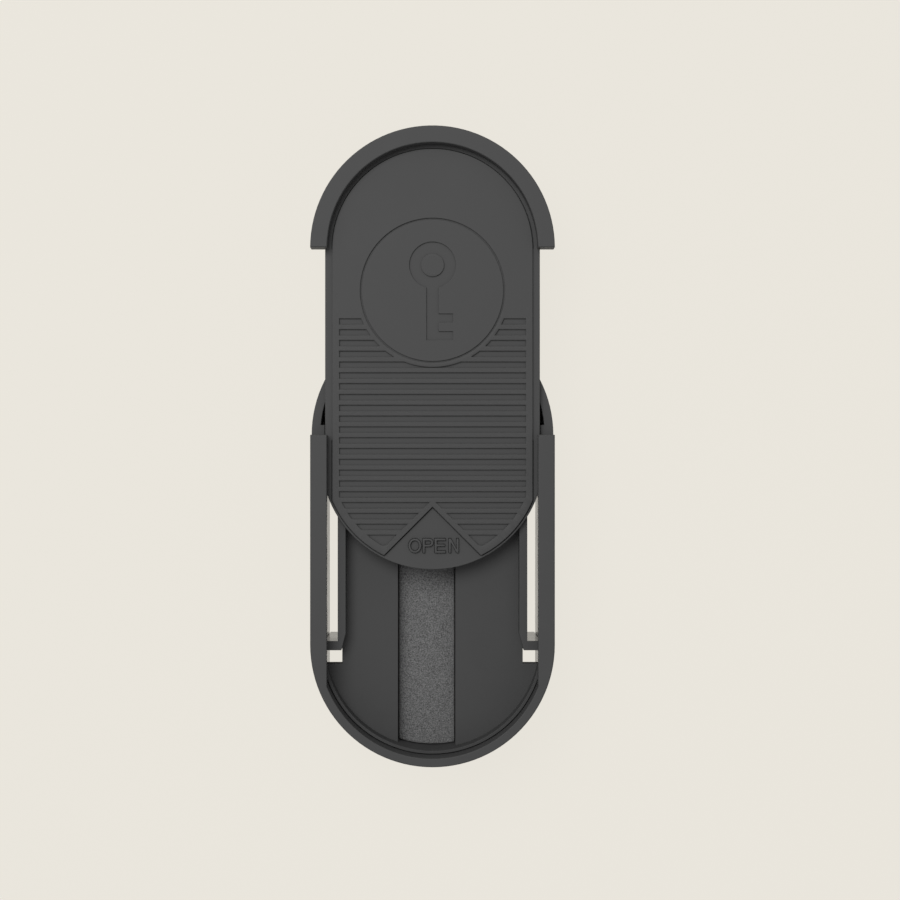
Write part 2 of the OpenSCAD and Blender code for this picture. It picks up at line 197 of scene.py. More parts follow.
@dataclass(frozen=True)
class ClosedCellFoam:
    """Grey closed-cell foam whose skin was split off.

    The eye gets a matte salt-and-pepper grain: each open cell, some 0.2 mm wide, is a pit, and the shade in
    it is painted into the colour as a dark grey where the bump is low.
    """

    name: str
    # painted shade of the open cells, not a colour of the foam itself
    painted_pit_shade: str = "343434"
    skin: str = "838383"
    cell_mm: float = 0.21
    cell_depth_mm: float = 0.08
    cell_strength: float = 0.7
    roughness: float = 0.95
    specular: float = 0.15
    fuzz: float = 0.2
    fuzz_roughness: float = 0.6

    def material(self) -> bpy.types.Material:
        """Builds the material.

        Returns:
            The material.
        """
        material, tree, shader = new_material(self.name)
        place = add_node(tree, "ShaderNodeTexCoord").outputs["Object"]
        cells = add_node(tree, "ShaderNodeTexNoise", Vector=place, Scale=pattern_scale(self.cell_mm),
                         Detail=3.0, Roughness=0.75).outputs["Fac"]
        # the low places of the cell bump get the painted pit shade, the high ones the foam's own grey
        colour = add_node(tree, "ShaderNodeValToRGB", Fac=cells,
                          stops=((0.32, linear(self.painted_pit_shade)), (0.68, linear(self.skin))))
        tree.links.new(colour.outputs["Color"], shader.inputs["Base Color"])
        bump = add_node(tree, "ShaderNodeBump", Strength=self.cell_strength,
                        Distance=self.cell_depth_mm * MM, Height=cells)
        tree.links.new(bump.outputs["Normal"], shader.inputs["Normal"])
        shader.inputs["Roughness"].default_value = self.roughness
        shader.inputs["Specular IOR Level"].default_value = self.specular
        shader.inputs["Sheen Weight"].default_value = self.fuzz
        shader.inputs["Sheen Roughness"].default_value = self.fuzz_roughness
        return material


@dataclass(frozen=True)
class MouldedRubber:
    """Soft black moulded rubber.

    The eye gets a nearly matte black that is a little paler where it is rubbed. The real grain is some
    0.05 mm wide. It is drawn 0.25 mm wide, as coarse as it needs to be to dull the highlights.
    """

    name: str
    colour: str = "1f1f20"
    rubbed: str = "303031"
    rub_mm: float = 6.0
    grain_mm: float = 0.25
    grain_depth_mm: float = 0.01
    grain_strength: float = 0.4
    roughness: float = 0.82
    specular: float = 0.3

    def material(self) -> bpy.types.Material:
        """Builds the material.

        Returns:
            The material.
        """
        material, tree, shader = new_material(self.name)
        place = add_node(tree, "ShaderNodeTexCoord").outputs["Object"]
        rub = add_node(tree, "ShaderNodeTexNoise", Vector=place, Scale=pattern_scale(self.rub_mm),
                       Detail=4.0, Roughness=0.65)
        colour = add_node(tree, "ShaderNodeValToRGB", Fac=rub.outputs["Fac"],
                          stops=((0.4, linear(self.colour)), (0.75, linear(self.rubbed))))
        tree.links.new(colour.outputs["Color"], shader.inputs["Base Color"])
        grain = add_node(tree, "ShaderNodeTexNoise", Vector=place, Scale=pattern_scale(self.grain_mm),
                         Detail=2.0)
        bump = add_node(tree, "ShaderNodeBump", Strength=self.grain_strength,
                        Distance=self.grain_depth_mm * MM, Height=grain.outputs["Fac"])
        tree.links.new(bump.outputs["Normal"], shader.inputs["Normal"])
        shader.inputs["Roughness"].default_value = self.roughness
        shader.inputs["Specular IOR Level"].default_value = self.specular
        return material


@dataclass(frozen=True)
class PlatedMetal:
    """Steel or magnet with a plated skin.

    The eye gets a bright metal whose fine rolling or turning marks spread its highlights one way.
    """

    name: str
    colour: str = "c9c9c6"
    roughness: float = 0.3
    roughness_range: tuple[float, float] = (-0.08, 0.1)
    mark_mm: float = 0.12
    mark_depth_mm: float = 0.005
    mark_strength: float = 0.2
    stretch: float = 14.0

    def material(self) -> bpy.types.Material:
        """Builds the material.

        Returns:
            The material.
        """
        material, tree, shader = new_material(self.name)
        place = add_node(tree, "ShaderNodeTexCoord").outputs["Object"]
        turned = add_node(tree, "ShaderNodeMapping", Vector=place, Scale=(1, 1 / self.stretch, 1))
        marks = add_node(tree, "ShaderNodeTexNoise", Vector=turned.outputs["Vector"],
                         Scale=pattern_scale(self.mark_mm), Detail=3.0).outputs["Fac"]
        smooth, rough = (self.roughness + change for change in self.roughness_range)
        sheen = add_node(tree, "ShaderNodeValToRGB", Fac=marks,
                         stops=((0.3, grey(smooth)), (0.7, grey(rough))))
        tree.links.new(sheen.outputs["Color"], shader.inputs["Roughness"])
        bump = add_node(tree, "ShaderNodeBump", Strength=self.mark_strength,
                        Distance=self.mark_depth_mm * MM, Height=marks)
        tree.links.new(bump.outputs["Normal"], shader.inputs["Normal"])
        shader.inputs["Base Color"].default_value = linear(self.colour)
        shader.inputs["Metallic"].default_value = 1.0
        return material


class Finish(Enum):
    """The finishes of this box, by what they are made of."""

    SHELL = MouldedABS("shell ABS, spark-eroded satin")
    LID = MouldedABS("lid ABS, spark-eroded satin")
    # The tray is a shade darker than the shell.
    TRAY = MouldedABS("tray ABS, spark-eroded satin", colour="3e3e3e", worn="424242")
    # The slots are shaped by a polished steel core: their walls mirror the pale ground at a low angle.
    WALL = MouldedABS("ABS walls from a polished core", roughness=0.2, grain_depth_mm=0.001,
                      specular=0.32)
    FOAM = ClosedCellFoam("closed-cell foam strip")
    RUBBER = MouldedRubber("moulded grip rubber")
    SCREW = PlatedMetal("zinc-plated screw steel")
    # Rolled sheet is greyer and duller than the screws, with wider marks.
    KEEPER = PlatedMetal("zinc-plated sheet steel", colour="b9b9b4", roughness=0.4, mark_mm=0.2)
    # Nickel is warmer and nearly a mirror, with marks that run no way.
    NICKEL = PlatedMetal("bright nickel plate", colour="d6d2ca", roughness=0.16, stretch=1.0)


_made: dict[Finish, bpy.types.Material] = {}


def material_of(finish: Finish) -> bpy.types.Material:
    """Builds a finish's material at its first use.

    Args:
        finish: the finish.

    Returns:
        Its material, the same one each time.
    """
    if finish not in _made:
        _made[finish] = finish.value.material()
    return _made[finish]


def dress(piece: bpy.types.Object, finish: Finish) -> None:
    """Gives a piece one finish all over."""
    piece.data.materials.clear()
    piece.data.materials.append(material_of(finish))


def dress_walls(piece: bpy.types.Object, inner_x: float, end_y: float) -> None:
    """Gives the walls of the side slots the smoother finish of the mould's polished core.

    Args:
        piece: the moulding, already dressed.
        inner_x: distance from the middle beyond which the slots lie.
        end_y: half the length of the box's straight part.
    """
    piece.data.materials.append(material_of(Finish.WALL))
    lean = 0.2  # how far a normal may lean from upright or from facing inwards
    for face in piece.data.polygons:
        x, y, _ = face.center / MM
        inward = face.normal.x * math.copysign(1, x) < lean
        if inward and abs(face.normal.z) < lean and abs(x) > inner_x and abs(y) < end_y:
            face.material_index = 1


# ------------------------------------------------------------------ modelling helpers


def select_only(piece: bpy.types.Object) -> None:
    """Deselects everything else and makes a piece active.

    Args:
        piece: the object.
    """
    bpy.ops.object.select_all(action="DESELECT")
    piece.select_set(True)
    bpy.context.view_layer.objects.active = piece


def settle(piece: bpy.types.Object) -> None:
    """Puts a piece's place, turn and scale into its mesh."""
    select_only(piece)
    bpy.ops.object.transform_apply(location=True, rotation=True, scale=True)


def finish_with(piece: bpy.types.Object, kind: str, **settings: Any) -> None:
    """Adds a modifier and applies it.

    Args:
        piece: the object.
        kind: the modifier's type, such as "BEVEL".
        settings: the modifier's settings.
    """
    select_only(piece)
    modifier = piece.modifiers.new(kind.lower(), kind)
    for name, value in settings.items():
        setattr(modifier, name, value)
    bpy.ops.object.modifier_apply(modifier=modifier.name)


def copy_of(node: str, name: str) -> bpy.types.Object:
    """Copies a CAD node's shape into a new piece, with its loose triangles joined into clean faces.

    Args:
        node: the CAD node.
        name: the new piece's name.

    Returns:
        The new piece.
    """
    piece = bpy.data.objects.new(name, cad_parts[node].data.copy())
    bpy.context.scene.collection.objects.link(piece)
    select_only(piece)
    bpy.ops.object.mode_set(mode="EDIT")
    bpy.ops.mesh.select_all(action="SELECT")
    bpy.ops.mesh.remove_doubles(threshold=WELD_MM * MM)
    bpy.ops.mesh.dissolve_limited(angle_limit=FLAT_ANGLE, delimit={"NORMAL"})
    bpy.ops.object.mode_set(mode="OBJECT")
    return piece


def anywhere(a: Vector, b: Vector) -> bool:
    """Picks every edge."""
    return True


def level(height: float) -> Where:
    """Picks the edges that lie at one height.

    Args:
        height: the height in millimetres.

    Returns:
        A test of an edge's two ends in millimetres.
    """
    return lambda a, b: abs(a.z - height) < NEAR_MM and abs(b.z - height) < NEAR_MM


def round_edges(piece: bpy.types.Object, rules: list[tuple[float, Where]], segments: int = 3) -> None:
    """Rounds the outer edges of a moulded piece and smooths its faces.

    Args:
        piece: the object.
        rules: the fillet's radius for each kind of edge; the first rule that fits an edge holds.
        segments: faces across a fillet.
    """
    widest = max(radius for radius, _ in rules)
    select_only(piece)
    bpy.ops.object.mode_set(mode="EDIT")
    mesh = bmesh.from_edit_mesh(piece.data)
    weights = mesh.edges.layers.float.new("bevel_weight_edge")
    for edge in mesh.edges:
        if not edge.is_manifold or edge.calc_face_angle_signed() < FILLET_ANGLE:
            continue
        a, b = (vertex.co / MM for vertex in edge.verts)
        edge[weights] = next((radius for radius, fits in rules if fits(a, b)), 0.0) / widest
    bmesh.update_edit_mesh(piece.data)
    bpy.ops.object.mode_set(mode="OBJECT")
    finish_with(piece, "BEVEL", width=widest * MM, segments=segments, limit_method="WEIGHT",
                use_clamp_overlap=False)
    smooth_edges(piece)


def arc(
    centre: tuple[float, float], radius: float, start: float, end: float, step: float = ARC_STEP
) -> Outline:
    """Points along an arc.

    Args:
        centre: its centre.
        radius: its radius.
        start: angle of its first point in degrees.
        end: angle of its last point in degrees; a smaller one than start turns clockwise.
        step: greatest distance between points.

    Returns:
        The points, both ends among them.
    """
    count = max(2, math.ceil(abs(math.radians(end - start)) * radius / step))
    angles = [math.radians(start + (end - start) * i / count) for i in range(count + 1)]
    return [(centre[0] + radius * math.cos(a), centre[1] + radius * math.sin(a)) for a in angles]


def circle(centre: tuple[float, float], radius: float) -> Outline:
    """Points round a whole circle."""
    return arc(centre, radius, 0, 360)[:-1]


def mirrored(points: Outline) -> Outline:
    """The same outline on the other side of the middle."""
    return [(-x, y) for x, y in points]


def wound(points: Outline, left: bool) -> Outline:
    """Turns an outline anticlockwise, or clockwise where left is false."""
    area = sum(a[0] * b[1] - b[0] * a[1] for a, b in zip(points, points[1:] + points[:1]))
    return points if (area > 0) == left else points[::-1]


def drawn_in(points: Outline, distance: float) -> Outline:
    """Moves an outline to its left by a small distance.

    Args:
        points: the closed outline.
        distance: how far, in millimetres.

    Returns:
        The moved outline, with as many points.
    """
    moved = []
    least = 0.3  # keeps the point of a sharp corner from running away
    for before, here, after in zip(points[-1:] + points[:-1], points, points[1:] + points[:1]):
        a = (Vector(here) - Vector(before)).normalized()
        b = (Vector(after) - Vector(here)).normalized()
        side = Vector((-a.y - b.y, a.x + b.x)) / max(1 + a.dot(b), least)
        moved.append((here[0] + side.x * distance, here[1] + side.y * distance))
    return moved


def flat_body(
    name: str, outlines: list[Outline], low: float, high: float, fillet: float = 0.0
) -> bpy.types.Object:
    """Makes a body from a flat curve that is given its height and rounded edges.

    Args:
        name: the piece's name.
        outlines: its outlines on the plan, and those of its holes.
        low: its lower level.
        high: its upper level.
        fillet: radius of its edges; without one they are sharp.

    Returns:
        The piece.
    """
    curve = bpy.data.curves.new(name, "CURVE")
    curve.dimensions = "2D"
    curve.fill_mode = "BOTH"
    curve.extrude = ((high - low) / 2 - fillet) * MM
    curve.bevel_depth = fillet * MM
    curve.bevel_resolution = 1
    curve.offset = -fillet * MM
    for outline in outlines:
        spline = curve.splines.new("POLY")
        spline.points.add(len(outline) - 1)
        for point, (x, y) in zip(spline.points, outline):
            point.co = (x * MM, y * MM, 0, 1)
        spline.use_cyclic_u = True
    drawn = bpy.data.objects.new(name, curve)
    bpy.context.scene.collection.objects.link(drawn)
    drawn.location.z = (low + high) / 2 * MM
    select_only(drawn)
    bpy.ops.object.convert(target="MESH")
    piece = bpy.context.object
    settle(piece)
    bpy.ops.object.mode_set(mode="EDIT")
    bpy.ops.mesh.select_all(action="SELECT")
    bpy.ops.mesh.remove_doubles(threshold=WELD_MM * MM)
    bpy.ops.mesh.normals_make_consistent(inside=False)
    bpy.ops.object.mode_set(mode="OBJECT")
    return piece


@dataclass(frozen=True)
class Pocket:
    """A shallow recess in a plate's top: outline, depth, radius of its upper edge, and islands in it."""

    outline: Outline
    depth: float
    fillet: float
    islands: tuple[Outline, ...] = ()


@dataclass(frozen=True)
class PocketedPlate:
    """A flat plate with a rounded upper edge and dozens of shallow pockets in its top.

    It is laid out ring by ring in mesh code, because the bevel operator and the bevel modifier both tear
    the large face between the pockets.
    """

    outline: Outline
    low: float
    high: float
    fillet: float
    pockets: tuple[Pocket, ...]
    steps: int = 3

    def build(self, name: str, shift: float) -> bpy.types.Object:
        """Makes the plate.

        Args:
            name: the piece's name.
            shift: how far the plate lies along the lid's travel, in millimetres.

        Returns:
            The piece.
        """
        mesh = bmesh.new()
        bottom, top = self.wall(mesh, wound(self.outline, True), self.low, self.fillet)
        self.fill(mesh, bottom, -1)
        for pocket in self.pockets:
            floor: list[bmesh.types.BMEdge] = []
            for loop, left in [(pocket.outline, False)] + [(island, True) for island in pocket.islands]:
                low_edges, high_edges = self.wall(mesh, wound(loop, left), self.high - pocket.depth,
                                                  pocket.fillet)
                floor += low_edges
                top += high_edges
            self.fill(mesh, floor, 1)
        self.fill(mesh, top, 1)
        bmesh.ops.translate(mesh, verts=mesh.verts, vec=(0, shift, 0))
        bmesh.ops.scale(mesh, verts=mesh.verts, vec=(MM, MM, MM))
        data = bpy.data.meshes.new(name)
        mesh.to_mesh(data)
        mesh.free()
        piece = bpy.data.objects.new(name, data)
        bpy.context.scene.collection.objects.link(piece)
        return piece

    def wall(
        self, mesh: bmesh.types.BMesh, loop: Outline, low: float, fillet: float
    ) -> tuple[list[bmesh.types.BMEdge], list[bmesh.types.BMEdge]]:
        """Raises one wall with its rounded upper edge, the body to the left of the loop.

        Args:
            mesh: the mesh.
            loop: the wall's outline.
            low: the wall's foot.
            fillet: radius of its upper edge.

        Returns:
            The edges at its foot and the edges at its top.
        """
        rings = [(0.0, low)]
        for step in range(self.steps + 1):
            angle = math.pi / 2 * step / self.steps
            rings.append((fillet * (1 - math.cos(angle)), self.high - fillet + fillet * math.sin(angle)))
        rows = [[mesh.verts.new((x, y, z)) for x, y in drawn_in(loop, inset)] for inset, z in rings]
        for lower, upper in zip(rows, rows[1:]):
            for i in range(len(loop)):
                mesh.faces.new((lower[i - 1], lower[i], upper[i], upper[i - 1]))
        ends = []
        for row in (rows[0], rows[-1]):
            ends.append([mesh.edges.get((row[i - 1], row[i])) for i in range(len(row))])
        return ends[0], ends[1]

    @staticmethod
    def fill(mesh: bmesh.types.BMesh, edges: list[bmesh.types.BMEdge], facing: int) -> None:
        """Closes a flat face with holes.

        Args:
            mesh: the mesh.
            edges: the edges round it and round its holes.
            facing: 1 where it faces up, -1 where it faces down.
        """
        made = bmesh.ops.triangle_fill(mesh, edges=edges, use_beauty=True, normal=(0, 0, facing))
        for face in made["geom"]:
            if isinstance(face, bmesh.types.BMFace):
                face.normal_update()
                if face.normal.z * facing < 0:
                    face.normal_flip()


def smooth_edges(piece: bpy.types.Object) -> None:
    """Shades the rounded edges smooth and keeps the flat faces flat.

    Args:
        piece: the object.
    """
    select_only(piece)
    bpy.ops.object.mode_set(mode="EDIT")
    bpy.ops.mesh.customdata_custom_splitnormals_clear()
    bpy.ops.mesh.select_mode(type="EDGE")
    bpy.ops.mesh.select_all(action="SELECT")
    bpy.ops.mesh.mark_sharp(clear=True)
    bpy.ops.mesh.select_all(action="DESELECT")
    bpy.ops.mesh.edges_select_sharp(sharpness=SHARP_ANGLE)
    bpy.ops.mesh.mark_sharp()
    bpy.ops.object.mode_set(mode="OBJECT")
    bpy.ops.object.shade_smooth()
    finish_with(piece, "WEIGHTED_NORMAL", mode="FACE_AREA", weight=100, keep_sharp=True)


# ------------------------------------------------------------------ sub-assemblies


@dataclass
class Shell:
    """The outer casing with its rails and round rim, and the blocks that stop the lid."""

    body: str = "base"
    rails_top: float = 18.0
    end_y: float = 18.9
    slot_x: float = 17.3
    lip: float = 19.0
    rim_middle: float = 21.0
    outer_fillet: float = 0.3
    inner_fillet: float = 0.16
    small_fillet: float = 0.1

    def build(self) -> list[bpy.types.Object]:
        """Makes the shell and dresses the stop blocks.

        Returns:
            The pieces.
        """
        shell = copy_of("base_shell", "shell_moulding")
        top = level(self.rails_top)
        round_edges(shell, [
            (self.inner_fillet, lambda a, b: top(a, b) and self.inner(a) and self.inner(b)),
            (self.outer_fillet, top),
            (self.small_fillet, anywhere),
        ])
        dress(shell, Finish.SHELL)
        dress_walls(shell, self.slot_x, self.end_y)
        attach(shell, self.body)
        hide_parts("base_shell")
        stops = [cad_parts[f"lid_stop_{side}"] for side in ("left", "right")]
        for stop in stops:
            dress(stop, Finish.SHELL)
        return [shell, *stops]

    def inner(self, point: Vector) -> bool:
        """Tells whether a point of the rim is on its inner side.

        Args:
            point: the point in millimetres.

        Returns:
            True on the inner side.
        """
        if point.y > -self.end_y:
            return abs(point.x) < self.lip + NEAR_MM
        return math.hypot(point.x, point.y + self.end_y) < self.rim_middle


@dataclass
class KeyTray:
    """The insert with the key compartment, the strips beside the slots and the padded key channel."""

    body: str = "base"
    end_y: float = 18.9
    slot_x: float = 17.3
    rounded_above: float = 8.0
    fillet: float = 0.07
    foam_voxel: float = 0.22
    foam_lump: float = 0.45
    foam_roughness: float = 0.07

    def build(self) -> list[bpy.types.Object]:
        """Makes the tray and the foam strip.

        Returns:
            The pieces.
        """
        tray = copy_of("key_tray", "tray_moulding")
        round_edges(tray, [(self.fillet, lambda a, b: min(a.z, b.z) > self.rounded_above)])
        dress(tray, Finish.TRAY)
        dress_walls(tray, self.slot_x, self.end_y)
        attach(tray, self.body)
        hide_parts("key_tray")
        return [tray, self.build_foam()]

    def build_foam(self) -> bpy.types.Object:
        """Makes the foam strip, with a surface broken up by its cells.

        Returns:
            The foam strip.
        """
        foam = copy_of("key_pad", "foam_strip")
        finish_with(foam, "REMESH", mode="VOXEL", voxel_size=self.foam_voxel * MM)
        cells = bpy.data.textures.new("foam cells", "CLOUDS")
        cells.noise_scale = self.foam_lump * MM
        finish_with(foam, "DISPLACE", texture=cells, texture_coords="LOCAL", mid_level=1.0,
                    strength=self.foam_roughness * MM)
        select_only(foam)
        bpy.ops.object.shade_smooth()
        dress(foam, Finish.FOAM)
        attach(foam, self.body)
        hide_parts("key_pad")
        return foam


@dataclass(frozen=True)
class KeySign:
    """The plain key sign in the badge: a round bow, a shank and two teeth."""

    bow_rise: float = 4.6
    bow_r: float = 4.2
    hole_r: float = 2.1
    shank_half: float = 1.1
    drop: float = 9.0
    tooth: float = 2.6
    gap: float = 1.6

    def outline(self, middle_y: float) -> Outline:
        """Draws the sign's outer edge.

        Args:
            middle_y: where the badge's middle lies.

        Returns:
            The outline, from the shank's right side round the bow and down to the teeth.
        """
        side = math.degrees(math.asin(self.shank_half / self.bow_r))
        low = middle_y - self.drop
        edge, reach = self.shank_half, self.shank_half + self.tooth
        bow = arc((0, middle_y + self.bow_rise), self.bow_r, -90 + side, 270 - side)
        return bow + [(-edge, low), (reach, low), (reach, low + self.gap), (edge, low + self.gap),
                      (edge, low + 2 * self.gap), (reach, low + 2 * self.gap),
                      (reach, low + 3 * self.gap), (edge, low + 3 * self.gap)]

    def hole(self, middle_y: float) -> Outline:
        """The hole in the bow."""
        return circle((0, middle_y + self.bow_rise), self.hole_r)


@dataclass
class SlideLid:
    """The sliding lid: end ring, ribbed plate, round badge, arrow cut and its raised word.

    Places are those of the closed lid, and travel moves them to where the lid is drawn.
    """

    body: str = "lid"
    travel: float = 33.6
    end_y: float = 18.9
    flange_top: float = 15.7
    plate_foot: float = 15.2
    plate_top: float = 16.25
    ring_top: float = 18.0
    plate_half: float = 18.1
    plate_r: float = 19.65
    foot_line: float = 0.2
    foot_line_depth: float = 0.4
    foot_line_rise: float = 3.2
    groove_half: float = 16.85
    groove_r: float = 18.23
    groove_top: float = 6.3
    groove_pitch: float = 1.955
    groove_width: float = 1.05
    groove_depth: float = 0.4
    groove_fillet: float = 0.14
    groove_count: int = 21
    pocket_r: float = 1.0
    arrow_tip: float = -27.71
    arrow_margin: float = 1.0
    badge_y: float = 11.4
    badge_r: float = 13.1
    badge_margin: float = 0.8
    badge_line: float = 0.3
    badge_depth: float = 0.3
    badge_fillet: float = 0.07
    ring_fillet: float = 0.2
    plate_fillet: float = 0.08
    flange_fillet: float = 0.14
    word_low: float = -36.05
    word_height: float = 2.57
    word_stroke: float = 0.34
    word_places: tuple[tuple[float, float], ...] = ((-4.34, 2.3), (-1.74, 1.87), (0.42, 1.93), (2.97, 1.74))
    word_relief: float = 0.45
    word_sink: float = 0.4
    word_line: float = 0.1
    word_line_depth: float = 0.3
    word_fillet: float = 0.03

    def build(self) -> list[bpy.types.Object]:
        """Makes the lid and its word.

        Returns:
            The pieces.
        """
        lid = copy_of("slide_lid", "lid_moulding")
        self.clear_flange(lid)
        round_edges(lid, [
            (self.ring_fillet, level(self.ring_top)),
            (self.flange_fillet, level(self.flange_top)),
        ])
        foot_line = flat_body("foot line", self.foot_lines(), self.flange_top - self.foot_line_depth,
                              self.plate_top)
        word_line = flat_body("word line", self.word_lines(), self.flange_top - self.word_line_depth,
                              self.plate_top)
        pockets = tuple(self.grooves() + self.badge())
        plate = PocketedPlate(self.plate_outline(), self.plate_foot, self.plate_top, self.plate_fillet,
                              pockets).build("plate", self.travel)
        tools = ((foot_line, "DIFFERENCE"), (word_line, "DIFFERENCE"), (plate, "UNION"))
        for tool, operation in tools:
            finish_with(lid, "BOOLEAN", object=tool, operation=operation, solver="EXACT")
            bpy.data.objects.remove(tool)
        smooth_edges(lid)
        dress(lid, Finish.LID)
        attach(lid, self.body)
        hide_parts("slide_lid")
        return [lid, self.build_word()]

    def clear_flange(self, lid: bpy.types.Object) -> None:
        """Takes the sharp-edged plate and the line at its foot off the copied lid, and closes the flange.

        Args:
            lid: the copied lid.
        """
        select_only(lid)
        bpy.ops.object.mode_set(mode="EDIT")
        bpy.ops.mesh.select_mode(type="FACE")
        bpy.ops.mesh.select_all(action="DESELECT")
        mesh = bmesh.from_edit_mesh(lid.data)
        low = self.flange_top - self.foot_line_depth - NEAR_MM
        high = self.plate_top + NEAR_MM
        for face in mesh.faces:
            heights = [vertex.co.z / MM for vertex in face.verts]
            on_flange = max(abs(height - self.flange_top) for height in heights) < NEAR_MM
            face.select_set(not on_flange and low < min(heights) and max(heights) < high)
        bmesh.update_edit_mesh(lid.data)
        bpy.ops.mesh.delete(type="FACE")
        bpy.ops.mesh.select_mode(type="EDGE")
        bpy.ops.mesh.select_non_manifold(extend=False, use_wire=False, use_multi_face=False,
                                         use_non_contiguous=False, use_verts=False)
        bpy.ops.mesh.edge_face_add()
        bpy.ops.mesh.select_all(action="SELECT")
        bpy.ops.mesh.normals_make_consistent(inside=False)
        bpy.ops.mesh.dissolve_limited(angle_limit=FLAT_ANGLE, delimit={"NORMAL"})
        bpy.ops.object.mode_set(mode="OBJECT")

    def plate_outline(self) -> Outline:
        """Draws the plate's edge, with the arrow cut in its lower end.

        Returns:
            The outline, from the arrow's tip up the right side and down the left.
        """
        centre, drop = (0.0, -self.end_y), self.arrow_tip + self.end_y
        cut_x = (drop + math.sqrt(2 * self.plate_r ** 2 - drop ** 2)) / 2
        side = math.degrees(math.acos(self.plate_half / self.plate_r))
        corner = math.degrees(math.acos(cut_x / self.plate_r))
        near_top = 88  # the arc's last point in degrees, beside the one on the middle line
        right = arc(centre, self.plate_r, -corner, -side)
        right += arc((0, self.end_y), self.plate_half, 0, near_top)
        top = (0, self.end_y + self.plate_half)
        return [(0, self.arrow_tip)] + right + [top] + mirrored(right)[::-1]

    def foot_lines(self) -> list[Outline]:
        """Draws the outer edges of the fine line at the plate's foot, round its upper and lower ends.

        Returns:
            Both outlines, where the lid is drawn.
        """
        line = drawn_in(wound(self.plate_outline(), True), -self.foot_line)
        first = next(i for i, (_, y) in enumerate(line) if y >= self.end_y)
        side, rise = self.plate_half + self.foot_line, self.foot_line_rise - self.end_y
        upper = [(x, y) for x, y in line if y >= self.end_y]
        lower = line[:first] + [(side, rise), (-side, rise)]
        lower += [(x, y) for x, y in line[first:] if y < self.end_y]
        return [[(x, y + self.travel) for x, y in outline] for outline in (upper, lower)]

    def outer(self, y: float) -> float:
        """Half the grooves' length at a height."""
        below = max(-self.end_y - y, 0.0)
        return min(self.groove_half, math.sqrt(self.groove_r ** 2 - below ** 2))

    def inner(self, y: float) -> float:
        """Finds how far from the middle the grooves start, beside the badge or the arrow cut.

        Args:
            y: the height on the plan.

        Returns:
            The distance, 0 where the groove runs right across.
        """
        round_badge = (self.badge_r + self.badge_margin) ** 2 - (y - self.badge_y) ** 2
        arrow = self.arrow_tip + self.arrow_margin * math.sqrt(2) - y
        return max(math.sqrt(max(round_badge, 0.0)), arrow, 0.0)

    def grooves(self) -> list[Pocket]:
        """Draws the grooves and the two pockets below them.

        Returns:
            The pockets, from the top row down.
        """
        outlines: list[Outline] = []
        steps = 6  # parts in which a groove's ends follow a round edge
        for row in range(self.groove_count - 1):
            top = self.groove_top - row * self.groove_pitch
            rows = [top - self.groove_width * i / steps for i in range(steps + 1)]
            edge = [(self.outer(y), y) for y in rows]
            start = [(self.inner(y), y) for y in rows]
            if all(x > 0 for x, _ in start):
                half = edge + start[::-1]
                outlines += [half, mirrored(half)]
            elif start[0][0] > 0:
                span = math.degrees(math.asin(start[0][0] / (self.badge_r + self.badge_margin)))
                notch = arc((0, self.badge_y), self.badge_r + self.badge_margin, 270 - span, 270 + span)
                outlines.append(notch + edge + mirrored(edge)[::-1])
            else:
                outlines.append(edge + mirrored(edge)[::-1])
        corner = self.corner_pocket()
        outlines += [corner, mirrored(corner)]
        return [Pocket(self.corners_of(outline), self.groove_depth, self.groove_fillet)
                for outline in outlines]

    @staticmethod
    def corners_of(outline: Outline) -> Outline:
        """Leaves out points that lie in line with their neighbours.

        Args:
            outline: the closed outline.

        Returns:
            The points that turn it.
        """
        kept = []
        shortest, straight, nothing = 1e-6, 1e-5, 1e-9  # length of a side, sine of a turn, product of sides
        for before, here, after in zip(outline[-1:] + outline[:-1], outline, outline[1:] + outline[:1]):
            a, b = Vector(here) - Vector(before), Vector(after) - Vector(here)
            if a.length > shortest and abs(a.cross(b)) > straight * max(a.length * b.length, nothing):
                kept.append(here)
        return kept

    def corner_pocket(self) -> Outline:
        """Draws the right-hand pocket between the last groove, the round edge and the arrow cut.

        Returns:
            Its outline.
        """
        top = self.groove_top - (self.groove_count - 1) * self.groove_pitch
        drop = self.arrow_tip + (self.arrow_margin + self.pocket_r) * math.sqrt(2) + self.end_y
        reach = self.groove_r - self.pocket_r
        x = (drop + math.sqrt(2 * reach ** 2 - drop ** 2)) / 2
        middle = (x, drop - x - self.end_y)
        turn = math.degrees(math.atan2(middle[1] + self.end_y, x))
        first = -math.degrees(math.asin((-self.end_y - top) / self.groove_r))
        to_arrow = -135  # the way from the corner's middle to the arrow cut, in degrees
        return ([(self.inner(top), top)] + arc((0, -self.end_y), self.groove_r, first, turn)
                + arc(middle, self.pocket_r, turn, to_arrow, CORNER_STEP)[1:])

    def badge(self) -> list[Pocket]:
        """Draws the badge's ring line and the key sign in it.

        Returns:
            Both pockets.
        """
        centre, sign = (0.0, self.badge_y), KeySign()
        ring = circle(centre, self.badge_r)
        disc = circle(centre, self.badge_r - self.badge_line)
        return [
            Pocket(ring, self.badge_depth, self.badge_fillet, (disc,)),
            Pocket(sign.outline(self.badge_y), self.badge_depth, self.badge_fillet,
                   (sign.hole(self.badge_y),)),
        ]

    def letters(self) -> list[list[Outline]]:
        """Draws the word's letters.

        Returns:
            Each letter where the lid is drawn, as its outline and the hole in it, if any.
        """
        shapes = (self.letter_o, self.letter_p, self.letter_e, self.letter_n)
        letters = [shape(x, width, self.word_height, self.word_stroke)
                   for shape, (x, width) in zip(shapes, self.word_places)]
        lift = self.word_low + self.travel
        return [[[(x, y + lift) for x, y in outline] for outline in letter] for letter in letters]

    def word_lines(self) -> list[Outline]:
        """Draws the outer edges of the fine line round each letter's foot.

        Returns:
            The outlines.
        """
        lines = []
        for outside, *holes in self.letters():
            lines.append(drawn_in(wound(outside, True), -self.word_line))
            lines += [drawn_in(wound(hole, True), self.word_line) for hole in holes]
        return lines

